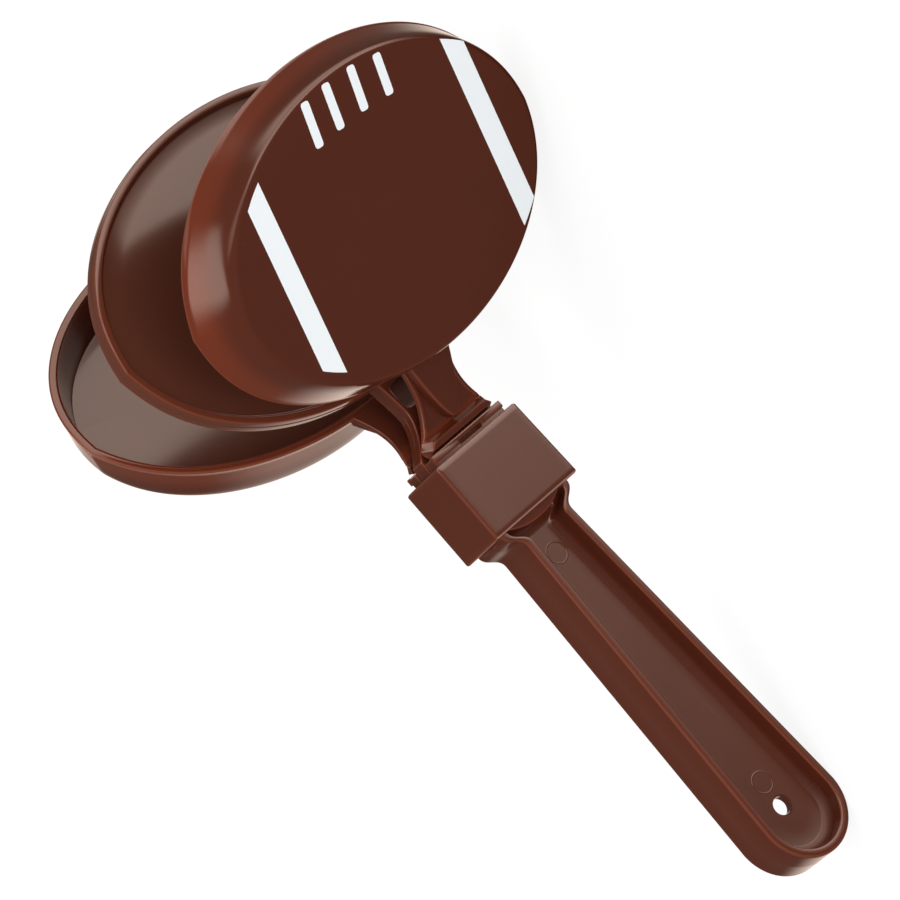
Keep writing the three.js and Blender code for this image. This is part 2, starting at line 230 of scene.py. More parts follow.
def combined(base, others, operation):
    """The solid `base` joined with, or cut by, each of the other solids, which are used up."""
    for other in others:
        change = base.modifiers.new("combine", "BOOLEAN")
        change.operation = operation
        change.solver = "MANIFOLD"
        change.object = other
        bpy.context.view_layer.update()
        evaluated = base.evaluated_get(bpy.context.evaluated_depsgraph_get())
        mesh = bpy.data.meshes.new_from_object(evaluated)
        base.modifiers.clear()
        old = base.data
        base.data = mesh
        bpy.data.meshes.remove(old)
        bpy.data.objects.remove(other)
    return base


def ball_rings(tip_in, side_in, depth, scale, point=TIP_POINT):
    """Football outlines at y = depth, drawn in by tip_in at the tips and side_in at the sides, then
    scaled about the middle: x = half length cos t plus a point of height `point` that fades as
    exp(-|rise| / spread), and rise = half height sin t."""
    tip_in, side_in, depth, scale, point = (
        np.asarray(a, float)[:, None] for a in np.broadcast_arrays(tip_in, side_in, depth, scale, point)
    )
    turn = np.linspace(0.0, 2.0 * np.pi, RING_POINTS, endpoint=False)
    rise = (BALL_HALF_HEIGHT - side_in) * np.sin(turn)
    tip = point * np.exp(-np.abs(rise) / TIP_SPREAD) * np.sign(np.cos(turn))
    x = (BALL_HALF_LENGTH - TIP_POINT - tip_in) * np.cos(turn) + tip
    return np.stack([scale * x, depth + 0.0 * x, BALL_CENTRE + scale * rise], -1)


def neck_half(z, foot, waist, waist_z, root, lower, upper):
    """Half a neck's width: foot at NECK_START, falling by a power curve to the waist and rising by
    another to the root in the paddle's rim. Below NECK_START it is the whole stack's."""
    down = np.clip((waist_z - z) / (waist_z - NECK_START), 0.0, 1.0)
    up = np.clip((z - waist_z) / (NECK_END - waist_z), 0.0, 1.0)
    half = waist + (foot - waist) * down ** lower + (root - waist) * up ** upper
    return STACK_HALF + (half - STACK_HALF) * ease(z, NECK_START - NECK_STEP, NECK_START)


def middle_paddle():
    """Rings over one face, out round the rim with its parting line, and back over the other face. The
    profile gives how far in from the outline and how far from the middle plane each ring lies."""
    foot = RIM_WIDTH + DRAFT + TRAY_FILLET
    profile = np.concatenate([
        arc(foot, TRAY_HALF + TRAY_FILLET, TRAY_FILLET, 270, 180),
        arc(RIM_WIDTH - RIM_EDGE, STEM_HALF - RIM_EDGE, RIM_EDGE, 0, 90),
        arc(RIM_EDGE + PARTING, STEM_HALF - RIM_EDGE, RIM_EDGE, 90, 180),
        [(PARTING, 1.2 * PARTING), (0.0, 0.0)],
    ])
    inset, depth = np.concatenate([profile, profile[-2::-1] * [1.0, -1.0]]).T
    scale = np.array(TRAY_RINGS)
    flat = np.ones(len(scale))
    scale = np.concatenate([scale, np.ones(len(inset)), scale[::-1]])
    inset = np.concatenate([foot * flat, inset, foot * flat])
    depth = np.concatenate([TRAY_HALF * flat, depth, -TRAY_HALF * flat])
    return surface("middle_paddle", ball_rings(inset, inset, -depth, scale), ends="")


def stem_and_neck():
    """Closed cross-sections up the handle: a bar with rounded edges and the mould's parting line on
    both its sides."""
    neck = np.linspace(NECK_START - NECK_STEP, NECK_END, 64)
    z = np.concatenate([np.linspace(STEM_FOOT, STEM_TOP, 6), neck])
    half = neck_half(z, **MIDDLE_NECK)
    right_side = [(half, -STEM_HALF), (half, -PARTING), (half + PARTING, 0)]
    right_side += [(half, PARTING), (half, STEM_HALF)]
    corners = right_side + [(-x, y) for x, y in right_side[::-1]]
    corners = np.stack([np.stack([x, y + 0.0 * z], -1) for x, y in corners], 1)
    edges = [STEM_EDGE, SEAM_FOOT_EDGE, SEAM_CREST_EDGE, SEAM_FOOT_EDGE, STEM_EDGE]
    outline = rounded(corners, edges * 2)
    heights = np.broadcast_to(z[:, None], outline.shape[:2])
    return surface("stem", np.stack([outline[..., 0], outline[..., 1], heights], -1))


def pocket(left, right, low, high, corner, inner, outer, side):
    """A cutter for a rounded rectangular recess: outlines in x and z at each share of the depth, wider
    by `grow` as they come out of the face, so that the recess has a fillet and a soft edge."""
    grow = (outer - inner) * np.array(POCKET_GROWTH)
    depth = side * (inner + (outer - inner) * np.array(POCKET_DEPTHS))
    left, right, low, high = left - grow, right + grow, low - grow, high + grow
    corners = [(right, low), (right, high), (left, high), (left, low)]
    outline = rounded(np.stack([np.stack(c, -1) for c in corners], 1), corner, 8)
    depth = np.broadcast_to(depth[:, None], outline.shape[:2])
    return surface("cutter", np.stack([outline[..., 0], depth, outline[..., 1]], -1))


def grip():
    """U-shaped lines, laid from the web's middle out over the floor, up the inner wall, over the round
    rim and down the outer wall, then the same on the back. Each U runs down one side, round the end as
    a half circle and up the other side; its open ends meet in one flat cap under the collar. Over the
    shoulder the half width goes from wide to narrow as (1 - s)^2 (1 + 2 s), while z falls by
    1.5 s (1 - s) + s^3 of its height."""
    s = np.linspace(0.0, 1.0, 14)
    hollow = GRIP_NARROW + (STACK_HALF - GRIP_NARROW) * (1 - s) ** 2 * (1 + 2 * s)
    hollow_z = GRIP_TOP - SHOULDER * (1.5 * s * (1 - s) + s ** 3)
    run = np.linspace(0.0, 1.0, 40)[1:]
    side_x = np.concatenate([hollow, GRIP_NARROW + (STACK_HALF - GRIP_NARROW) * run])
    side_z = np.concatenate([hollow_z, hollow_z[-1] + (GRIP_END - hollow_z[-1]) * run])
    turn = np.linspace(0.0, np.pi, 49)[1:-1]
    x = np.concatenate([side_x, STACK_HALF * np.cos(turn), -side_x[::-1]])
    z = np.concatenate([side_z, GRIP_END - STACK_HALF * np.sin(turn), side_z[::-1]])
    drop = np.clip((GRIP_END - z) / STACK_HALF, 0.0, 1.0)
    aside = np.where(drop > 0, x / STACK_HALF, np.sign(x))
    web = WEB_HALF + (STEM_HALF - WEB_HALF) * ease(z, *WEB_RISE)

    foot = GRIP_WALL + DRAFT + CHANNEL_FILLET
    rise = GRIP_HALF_DEPTH - WEB_HALF
    channel = np.concatenate([
        arc(foot, CHANNEL_FILLET, CHANNEL_FILLET, 270, 180, 9),
        arc(GRIP_WALL - GRIP_INNER_EDGE, rise - GRIP_INNER_EDGE, GRIP_INNER_EDGE, 0, 90),
    ])
    outside = np.concatenate([
        arc(GRIP_EDGE, GRIP_HALF_DEPTH - GRIP_EDGE, GRIP_EDGE, 90, 180, 7),
        [(0.0, GRIP_HALF_DEPTH - GRIP_FLANK), (0.0, GRIP_SEAM_HALF), (-GRIP_SEAM_RISE, 0.0)],
    ])
    inset = np.concatenate([[foot, foot], channel[:, 0], outside[:, 0]])[:, None]
    share = np.concatenate([[0.0, 0.0], channel[:, 1] / rise])[:, None]
    inner_depth = web + share * (GRIP_HALF_DEPTH - web)
    outer_depth = outside[:, 1:] + 0.0 * web
    depth = np.concatenate([inner_depth, outer_depth])
    scale = np.ones_like(inset)
    scale[:2, 0] = 0.0, 0.5
    ring_x = scale * (x - inset * aside)
    ring_z = np.where(drop > 0, GRIP_END + scale * (z - GRIP_END + inset * drop), z)
    front = np.stack([ring_x, -depth, ring_z + 0.0 * ring_x], -1)
    rings = np.concatenate([front, (front * [1.0, -1.0, 1.0])[-2::-1]])
    return surface("grip", rings, closed=False, ends="lines")


def hole_cutter():
    """A round cutter turned about y, waisted so that the hole's edges come out rounded."""
    y = np.linspace(-WEB_HALF - HOLE_REACH, WEB_HALF + HOLE_REACH, 13)
    rounding = np.clip((np.abs(y) - WEB_HALF + HOLE_EDGE) / HOLE_EDGE, 0.0, 2.0)
    radius = HOLE_RADIUS + HOLE_FLARE * rounding ** 2
    turn = np.linspace(0.0, 2.0 * np.pi, 48, endpoint=False)
    x = radius[:, None] * np.cos(turn)
    z = radius[:, None] * np.sin(turn) + HOLE_HEIGHT
    return surface("cutter", np.stack([x, y[:, None] + 0.0 * x, z], -1))


def pin_mark(height):
    """The low round ridge that an ejector pin leaves on the web: a flattened circle carried round."""
    section = arc(PIN_RADIUS, 0.0, 1.0, 0, 360, 13)[:-1]
    radius = PIN_RADIUS + PIN_WIDTH * (section[:, 0] - PIN_RADIUS)
    rise = WEB_HALF + PIN_RISE * section[:, 1]
    turn = np.linspace(0.0, 2.0 * np.pi, 65)
    x = np.cos(turn)[:, None] * radius
    z = np.sin(turn)[:, None] * radius + height
    return surface("pin_mark", np.stack([x, -rise + 0.0 * x, z], -1), ends="")


def keep_edge_highlights(solid):
    """Writes the attribute `edge`, 0 to 1, the share of a painted highlight on convex edges: at each
    point the greatest curvature towards a neighbour, 2 n.(p - q) / |p - q|^2 in 1/mm, eased between a
    soft bend and a tight one. Where the painted floor reflection is set there is none."""
    mesh = solid.data
    pairs = np.empty(len(mesh.edges) * 2, np.int32)
    mesh.edges.foreach_get("vertices", pairs)
    points = np.empty(len(mesh.vertices) * 3, np.float32)
    mesh.vertices.foreach_get("co", points)
    normals = np.empty(len(mesh.vertices) * 3, np.float32)
    mesh.vertices.foreach_get("normal", normals)
    points, normals = points.reshape(-1, 3) / MM, normals.reshape(-1, 3)
    start, end = pairs.reshape(-1, 2).T
    step = points[end] - points[start]
    square = np.maximum(np.sum(step * step, axis=1), SHORTEST ** 2)
    bend = np.zeros(len(points))
    np.maximum.at(bend, start, -2.0 * np.sum(normals[start] * step, axis=1) / square)
    np.maximum.at(bend, end, 2.0 * np.sum(normals[end] * step, axis=1) / square)
    share = ease(bend, *EDGE_HIGHLIGHT_BEND).astype(np.float32)
    if "matte" in mesh.attributes:
        matte = np.empty(len(points), np.float32)
        mesh.attributes["matte"].data.foreach_get("value", matte)
        share[matte > 0] = 0.0
    layer = mesh.attributes.new("edge", "FLOAT", "POINT")
    layer.data.foreach_set("value", share)


def finish_solid(solid, name, place, body, **shares):
    """Lays a finished solid in the row's frame, shades it smooth up to its sharp edges, and keeps
    attributes of its points: `edge`, the painted edge highlight, and those whose shares are worked out
    from the closed hand frame."""
    solid.name = name
    mesh = solid.data
    points = np.empty(len(mesh.vertices) * 3, np.float32)
    mesh.vertices.foreach_get("co", points)
    points = points.reshape(-1, 3).astype(float)
    mesh.vertices.foreach_set("co", place(points).astype(np.float32).ravel())
    mesh.update()
    mesh.shade_smooth()
    mesh.set_sharp_from_angle(angle=SHARP_ANGLE)
    for key, share in shares.items():
        layer = mesh.attributes.new(key, "FLOAT", "POINT")
        layer.data.foreach_set("value", np.clip(share(*points.T), 0.0, 1.0).astype(np.float32))
    keep_edge_highlights(solid)
    mesh.materials.clear()
    mesh.materials.append(brown)
    if body:
        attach(solid, body)
    return solid


def node(tree, kind, **values):
    """Adds a node, sets its named inputs or properties, and returns it."""
    made = tree.nodes.new(kind)
    for key, value in values.items():
        if key in made.inputs:
            made.inputs[key].default_value = value
        else:
            setattr(made, key, value)
    return made


SWIRL_DETAIL = 3.0
SWIRL_ROUGHNESS = 0.5
SWIRL_DISTORTION = 0.6
SCRATCH_STRETCH = 0.035
SCRATCH_DETAIL = 2.0
SCRATCH_ROUGHNESS = 0.6
SCRATCH_START = 0.68
SCRATCH_FULL = 0.84
SCRATCH_RELIEF = -0.1
GRAIN_SCALE = 1500.0
GRAIN_DETAIL = 1.0


def moulding_marks():
    """A node group for moulded plastic. From a position it gives Flow, broad faint swirls, Scratches,
    fine lines along the position's z, and Height, both as a relief."""
    group = bpy.data.node_groups.new("moulding_marks", "ShaderNodeTree")
    group.interface.new_socket("Position", in_out="INPUT", socket_type="NodeSocketVector")
    group.interface.new_socket("Flow Scale", in_out="INPUT", socket_type="NodeSocketFloat")
    group.interface.new_socket("Scratch Scale", in_out="INPUT", socket_type="NodeSocketFloat")
    group.interface.new_socket("Flow", in_out="OUTPUT", socket_type="NodeSocketFloat")
    group.interface.new_socket("Scratches", in_out="OUTPUT", socket_type="NodeSocketFloat")
    group.interface.new_socket("Height", in_out="OUTPUT", socket_type="NodeSocketFloat")
    given = group.nodes.new("NodeGroupInput")
    result = group.nodes.new("NodeGroupOutput")
    flow = node(group, "ShaderNodeTexNoise", Detail=SWIRL_DETAIL, Roughness=SWIRL_ROUGHNESS)
    flow.inputs["Distortion"].default_value = SWIRL_DISTORTION
    group.links.new(given.outputs["Position"], flow.inputs["Vector"])
    group.links.new(given.outputs["Flow Scale"], flow.inputs["Scale"])
    stretch = node(group, "ShaderNodeMapping", Scale=(1.0, 1.0, SCRATCH_STRETCH))
    group.links.new(given.outputs["Position"], stretch.inputs["Vector"])
    fine = node(group, "ShaderNodeTexNoise", Detail=SCRATCH_DETAIL, Roughness=SCRATCH_ROUGHNESS)
    group.links.new(stretch.outputs["Vector"], fine.inputs["Vector"])
    group.links.new(given.outputs["Scratch Scale"], fine.inputs["Scale"])
    line = node(group, "ShaderNodeMapRange", interpolation_type="SMOOTHSTEP")
    line.inputs["From Min"].default_value = SCRATCH_START
    line.inputs["From Max"].default_value = SCRATCH_FULL
    group.links.new(fine.outputs["Fac"], line.inputs["Value"])
    grain = node(group, "ShaderNodeTexNoise", Scale=GRAIN_SCALE, Detail=GRAIN_DETAIL)
    group.links.new(given.outputs["Position"], grain.inputs["Vector"])
    relief = node(group, "ShaderNodeMath", operation="MULTIPLY_ADD")
    relief.inputs[1].default_value = SCRATCH_RELIEF
    group.links.new(line.outputs["Result"], relief.inputs[0])
    group.links.new(grain.outputs["Fac"], relief.inputs[2])
    group.links.new(flow.outputs["Fac"], result.inputs["Flow"])
    group.links.new(line.outputs["Result"], result.inputs["Scratches"])
    group.links.new(relief.outputs["Value"], result.inputs["Height"])
    return group


def blended(tree, factor, first, second, kind="RGBA"):
    """A Mix node from first to second, each a socket or a constant, by the socket `factor`."""
    mix = node(tree, "ShaderNodeMix", data_type=kind)
    sockets = [s for s in mix.inputs if s.enabled]
    for socket, value in zip(sockets, (factor, first, second)):
        if isinstance(value, bpy.types.NodeSocket):
            tree.links.new(value, socket)
        else:
            socket.default_value = value
    return next(s for s in mix.outputs if s.enabled)


def scaled(tree, value, share):
    """A socket's value times a constant."""
    times = node(tree, "ShaderNodeMath", operation="MULTIPLY")
    tree.links.new(value, times.inputs[0])
    times.inputs[1].default_value = share
    return times.outputs["Value"]


FLOOR_NEAR = 0.06
WEB_SHEEN = 0.35
DULL_FADE = (-8.0, 7.0)
RECESS_SIDE = 1.0
RECESS_REACH = 1.5
RECESS_RIM = 0.15


def painted_floor_sheen(x, y, z):
    """The tray floors and, less so, the web, painted paler than the rest: a painted reflection."""
    tray = (np.abs(y) < TRAY_HALF + FLOOR_NEAR) & (z > NECK_END)
    web = (np.abs(y) < WEB_HALF + FLOOR_NEAR) & (z < GRIP_TOP)
    return tray + WEB_SHEEN * web


def dull_corners(x, y, z):
    """The corner at the channel's end and the neck's recesses, where the mould wasn't polished."""
    inside = np.hypot(x, np.minimum(z - GRIP_END, 0.0)) < STACK_HALF - 0.75 * GRIP_WALL
    above = np.abs(y) - WEB_HALF
    fillet = (above > 100 * MERGE) & (above < CHANNEL_FILLET)
    corner = inside * fillet * ease(GRIP_END - z, *DULL_FADE)
    sunk = (np.abs(y) < STEM_HALF - RECESS_RIM) & (np.abs(x) < RECESS_HALF + RECESS_SIDE)
    return corner + sunk * (z > RECESS_LOW - RECESS_REACH) * (z < RECESS_HIGH + RECESS_REACH)


BROWN = (0.086, 0.0180, 0.0084, 1.0)
BROWN_DEEP = (0.078, 0.0157, 0.0072, 1.0)
# Painted highlight: the lighter colour that convex edges are mixed towards.
EDGE_HIGHLIGHT = (0.23, 0.058, 0.030, 1.0)
EDGE_HIGHLIGHT_SHARE = 0.5
# Painted glow: the amber of light coming through thin walls.
PAINTED_GLOW = (0.135, 0.0240, 0.0092, 1.0)
SCUFF = (0.13, 0.062, 0.045, 1.0)
SCUFF_SHARE = 0.05
# Painted reflection: the paler colour of the floors that mirror the bright surroundings.
FLOOR_SHEEN_BROWN = (0.125, 0.048, 0.030, 1.0)
FLOOR_SHEEN_SHARE = 0.4
# Rubbing and painted highlight: the pale colour of the collar's rim edges.
RUB_AND_SHEEN = (0.42, 0.25, 0.21, 1.0)
RUB_AND_SHEEN_SHARE = 0.6
GLOSSY = 0.1
LESS_GLOSSY = 0.17
SCRATCHED = 0.3
DULL = 0.5
SWIRL_SCALE = 55.0
SCRATCH_SCALE = 900.0
GRAIN_STRENGTH = 0.08
GRAIN_DEPTH = 0.00004
PLASTIC_IOR = 1.55

marks = moulding_marks()
brown = bpy.data.materials.new("brown_plastic")
brown.use_nodes = True
tree = brown.node_tree
shader = tree.nodes["Principled BSDF"]
place = tree.nodes.new("ShaderNodeTexCoord")
turned = node(tree, "ShaderNodeMapping", Rotation=tuple(Matrix(HAND.tolist()).to_euler()))
tree.links.new(place.outputs["Object"], turned.inputs["Vector"])
moulded = tree.nodes.new("ShaderNodeGroup")
moulded.node_tree = marks
moulded.inputs["Flow Scale"].default_value = SWIRL_SCALE
moulded.inputs["Scratch Scale"].default_value = SCRATCH_SCALE
tree.links.new(turned.outputs["Vector"], moulded.inputs["Position"])
edge = node(tree, "ShaderNodeAttribute", attribute_name="edge")
wall = node(tree, "ShaderNodeAttribute", attribute_name="wall")
matte = node(tree, "ShaderNodeAttribute", attribute_name="matte")
dull = node(tree, "ShaderNodeAttribute", attribute_name="dull")
rubbed = node(tree, "ShaderNodeAttribute", attribute_name="rubbed")
colour = blended(tree, moulded.outputs["Flow"], BROWN_DEEP, BROWN)
# Painted glow: thin walls and flange edges turned amber by the `wall` share.
colour = blended(tree, wall.outputs["Fac"], colour, PAINTED_GLOW)
# Painted reflection: tray, web and bowl floors made paler by the floor share.
colour = blended(tree, scaled(tree, matte.outputs["Fac"], FLOOR_SHEEN_SHARE), colour, FLOOR_SHEEN_BROWN)
# Painted highlight: convex edges lightened by the `edge` share.
colour = blended(tree, scaled(tree, edge.outputs["Fac"], EDGE_HIGHLIGHT_SHARE), colour, EDGE_HIGHLIGHT)
colour = blended(tree, scaled(tree, moulded.outputs["Scratches"], SCUFF_SHARE), colour, SCUFF)
# Rubbing and painted highlight: the collar's rim edges painted pale.
colour = blended(tree, scaled(tree, rubbed.outputs["Fac"], RUB_AND_SHEEN_SHARE), colour, RUB_AND_SHEEN)
tree.links.new(colour, shader.inputs["Base Color"])
gloss = blended(tree, moulded.outputs["Flow"], GLOSSY, LESS_GLOSSY, "FLOAT")
gloss = blended(tree, moulded.outputs["Scratches"], gloss, SCRATCHED, "FLOAT")
gloss = blended(tree, dull.outputs["Fac"], gloss, DULL, "FLOAT")
tree.links.new(gloss, shader.inputs["Roughness"])
bump = node(tree, "ShaderNodeBump", Strength=GRAIN_STRENGTH, Distance=GRAIN_DEPTH)
tree.links.new(moulded.outputs["Height"], bump.inputs["Height"])
tree.links.new(bump.outputs["Normal"], shader.inputs["Normal"])
shader.inputs["IOR"].default_value = PLASTIC_IOR

raised = [stem_and_neck(), middle_paddle()] + [pin_mark(height) for height in PIN_MARKS]
handle = combined(grip(), raised, "UNION")
recess = (-RECESS_HALF, RECESS_HALF, RECESS_LOW, RECESS_HIGH, RECESS_CORNER, RECESS_FLOOR, STEM_HALF)
recesses = [pocket(*recess, side) for side in (-1, 1)]
handle = combined(handle, recesses + [hole_cutter()], "DIFFERENCE")
# The tray floors and the web get a painted reflection, paler than the rest.
finish_solid(handle, "clapper_handle", laid, "handle", matte=painted_floor_sheen, dull=dull_corners)
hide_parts("handle")

# Collar
# A square moulded sleeve, pushed over the stem and both hinge tabs from below. Its wall is even and
# its corners and rims are only just rounded.
COLLAR_WIDTH = 26.4
COLLAR_DEPTH = 15.0
COLLAR_TOP = 0.45
COLLAR_FOOT = -19.0
COLLAR_FLARE = 0.4
COLLAR_WALL = 1.6
COLLAR_CORNER = 0.8
COLLAR_RIM = 0.5
RUB_AND_SHEEN_DOWN = (0.3, 0.48)
RUB_AND_SHEEN_IN = (0.15, 0.45)


def collar_sleeve():
    """Rounded rectangles, from the outer face's middle up over the top rim, down the bore and back
    over the bottom rim: half width and half depth less the inset of each ring. The outside widens
    evenly from top to bottom."""
    rim = COLLAR_RIM
    top = np.concatenate([
        [(0.0, 0.5 * (COLLAR_TOP + COLLAR_FOOT)), (0.0, COLLAR_TOP - 3 * rim)],
        arc(rim, COLLAR_TOP - rim, rim, 180, 90, 5),
        arc(COLLAR_WALL - rim, COLLAR_TOP - rim, rim, 90, 0, 5),
        [(COLLAR_WALL, COLLAR_TOP - 3 * rim)],
    ])
    foot = (top * [1.0, -1.0] + [0.0, COLLAR_TOP + COLLAR_FOOT])[::-1]
    inset, height = np.concatenate([top, foot]).T
    flare = COLLAR_FLARE * (COLLAR_TOP - height) / (COLLAR_TOP - COLLAR_FOOT) * (inset < 0.5 * COLLAR_WALL)
    x = COLLAR_WIDTH / 2 - inset + flare
    y = COLLAR_DEPTH / 2 - inset
    near = 2.5 * COLLAR_CORNER
    right_side = [(x - near, -y), (x, -y), (x, near - y), (x, y - near), (x, y), (x - near, y)]
    corners = np.stack([np.stack(c, -1) for c in right_side + [(-a, b) for a, b in right_side[::-1]]], 1)
    outline = rounded(corners, [0.0, COLLAR_CORNER, 0.0, 0.0, COLLAR_CORNER, 0.0] * 2, 7)
    rings = np.concatenate([outline, np.broadcast_to(height[:, None, None], (*outline.shape[:2], 1))], -1)
    return surface("collar_sleeve", rings, ends="")


def rubbed_rims(x, y, z):
    """The outer edges of both rims on the front and the back, painted pale: partly rubbing and partly a
    painted highlight.
    """
    from_rim = 0.5 * (COLLAR_TOP - COLLAR_FOOT) - np.abs(z - 0.5 * (COLLAR_TOP + COLLAR_FOOT))
    inset = 0.5 * COLLAR_DEPTH - np.abs(y)
    return (1 - ease(from_rim, *RUB_AND_SHEEN_DOWN)) * (1 - ease(inset, *RUB_AND_SHEEN_IN))


collar = finish_solid(collar_sleeve(), "collar_sleeve", laid, "handle", rubbed=rubbed_rims)
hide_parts("collar")

# Front and rear shells
# Each is one injection moulding with its hinge tab: a hollow half football with a flat face, on a thin
# neck with a raised tongue that ends in the hinge bar. The rear one is the front one turned half round.
RIM_PLANE = 2.4
SHELL_DEPTH = 11.4
SHELL_WALL = 1.8
TAPER_TIP = 6.4
TAPER_SIDE = 3.7
RIM_ROUND = 0.45
WALL_LEAN = 0.48
WALL_STRAIGHT = 7.0
WALL_RINGS = (0.0, 0.6, 1.8, 3.1)
EDGE_CURVE = ((0.3, 4.4), (0.6, 8.8), (0.68, SHELL_DEPTH), (1.0, SHELL_DEPTH))
FACE_RINGS = (0.0, 0.35, 0.7)
POINT_FADE = (0.2, 0.8)
POINT_LOSS = 0.7

GLOW_FADE = (4.5, 9.0)
GLOW_FROM_MIDDLE = (0.9, 0.97)
GLOW_OFF_NECK = 2.0
FLANGE_GLOW_SIDE = (7.1, 7.8)
FLANGE_GLOW_LOW = (5.0, 5.8)
FLANGE_GLOW_HIGH = (7.5, 9.5)
INSIDE_SHARE = 0.86
INSIDE_START = 0.8

SHELL_NECK = {"foot": 11.4, "waist": 6.4, "waist_z": 16.0, "root": 7.1, "lower": 2.0, "upper": 2.0}
NECK_FRONT = 5.6
FLANGE_FACE = 3.4
FLANGE_RIM = 0.3
FLANGE_RIM_WIDTH = 0.9
TONGUE_HALF = 6.4
TONGUE_FOOT = 7.0
TONGUE_POWER = 0.62
TONGUE_DRAFT = 0.4
TONGUE_FOOT_HALF = 0.2
TONGUE_FOOT_DROP = 1.2
TONGUE_FOOT_SHARE = 0.05
TONGUE_EDGE = 0.6
TONGUE_ROOT_EDGE = 0.1
BAR_HALF = 10.6
BAR_FACE_HALF = 9.8
BAR_FACE_DRAW = 1.5
BAR_FACE_TOP = 5.85
BAR_SLOPE_TOP = 6.25
BAR_FOOT = 3.02
BAR_FRONT_FOOT = 4.45
BAR_BACK_FOOT = 3.9
BAR_RINGS = (3.2, 6.8)
BAR_STEP = 0.15
FLANGE_START = 7.0
DRAW_RISE = (4.2, 6.2)
RIM_RISE = 1.2
FLANGE_EDGE = 0.3
FLANGE_INNER_EDGE = 0.2
FILM_HALF = 0.22
FLOOR_DEPTH = SHELL_DEPTH - SHELL_WALL


def bezier(points, steps):
    """Cubic curve through four control points, at even steps of its parameter."""
    t = np.linspace(0.0, 1.0, steps)[:, None]
    a, b, c, d = (np.array(p, float) for p in points)
    return (1 - t) ** 3 * a + 3 * t * (1 - t) ** 2 * b + 3 * t ** 2 * (1 - t) * c + t ** 3 * d


def bowl():
    """Rings from the middle of the flat face out over its round edge, down the leaning wall, over the
    rim and back inside at one wall's thickness. The share of the taper rises evenly on the wall and
    by a cubic curve on the round edge; the inner side is the outer one moved along its normal."""
    wall_depth = np.array(WALL_RINGS)
    wall = np.stack([WALL_LEAN / WALL_STRAIGHT * wall_depth, wall_depth], -1)
    edge = bezier(EDGE_CURVE, 18)
    outer = np.concatenate([wall, edge])
    taper = 0.5 * (TAPER_TIP + TAPER_SIDE)
    way = np.gradient(outer * [taper, 1.0], axis=0)
    way /= np.linalg.norm(way, axis=1, keepdims=True)
    rim = np.concatenate([
        arc(RIM_ROUND, RIM_ROUND, RIM_ROUND, 180, 270, 5),
        arc(SHELL_WALL - RIM_ROUND, RIM_ROUND, RIM_ROUND, 270, 360, 5),
    ])
    share = np.concatenate([outer[:0:-1, 0], np.zeros(len(rim)), outer[1:, 0]])
    thick_in = SHELL_WALL * way[1:, 1]
    deep_in = outer[1:, 1] - SHELL_WALL * way[1:, 0]
    inset = np.concatenate([np.zeros(len(outer) - 1), rim[:, 0], thick_in])
    depth = np.concatenate([outer[:0:-1, 1], rim[:, 1], deep_in])
    middle = np.array(FACE_RINGS)
    flat = len(middle)
    scale = np.concatenate([middle, np.ones(len(depth)), middle[::-1]])
    profile = (share, inset, depth)
    share, inset, depth = (np.concatenate([a[:1].repeat(flat), a, a[-1:].repeat(flat)]) for a in profile)
    point = TIP_POINT * (1 - POINT_LOSS * ease(share, *POINT_FADE))
    tip_in = TAPER_TIP * share + inset
    side_in = TAPER_SIDE * share + inset
    return surface("bowl", ball_rings(tip_in, side_in, -RIM_PLANE - depth, scale, point), ends="")


def bar_and_flange():
    """Closed cross-sections from the film up the notch, the hinge bar with its sloped top, and the
    flange with a low rim along its edges. In the notch the depth shrinks towards the film."""
    z = np.concatenate([[BAR_FOOT], np.linspace(*BAR_RINGS, 37), np.linspace(FLANGE_START, NECK_END, 52)])
    half = np.minimum(neck_half(z, **SHELL_NECK), BAR_HALF)
    around = z[:, None] + np.linspace(-BAR_STEP, BAR_STEP, 9)
    fall = np.clip((around - BAR_FACE_TOP) / (BAR_SLOPE_TOP - BAR_FACE_TOP), 0.0, 1.0).mean(axis=1)
    face = NECK_FRONT - (NECK_FRONT - FLANGE_FACE) * fall
    crest = face + FLANGE_RIM * ease(z, BAR_SLOPE_TOP, BAR_SLOPE_TOP + RIM_RISE)
    front, back = (
        FILM_HALF + (NECK_FRONT - HINGE_Y - FILM_HALF) * (z - BAR_FOOT) / (foot - BAR_FOOT)
        for foot in (BAR_FRONT_FOOT, BAR_BACK_FOOT)
    )
    face_half = np.minimum(half, BAR_FACE_HALF - BAR_FACE_DRAW * ease(z, *DRAW_RISE))
    drawn = (half - face_half) * (1 - fall)
    inner = half - drawn - FLANGE_RIM_WIDTH
    corners = [(half, RIM_PLANE + 0 * z), (half - drawn, crest), (inner, crest), (inner - FLANGE_RIM, face)]
    corners += [(-x, y) for x, y in corners[::-1]]
    low, high = HINGE_Y - back, HINGE_Y + front
    corners = np.stack([np.stack([x, -np.clip(y, low, high)], -1) for x, y in corners], 1)
    radii = [FLANGE_EDGE, FLANGE_EDGE, FLANGE_EDGE, FLANGE_INNER_EDGE]
    outline = rounded(corners, radii + radii[::-1])
    heights = np.broadcast_to(z[:, None], outline.shape[:2])
    return surface("bar", np.stack([outline[..., 0], outline[..., 1], heights], -1))


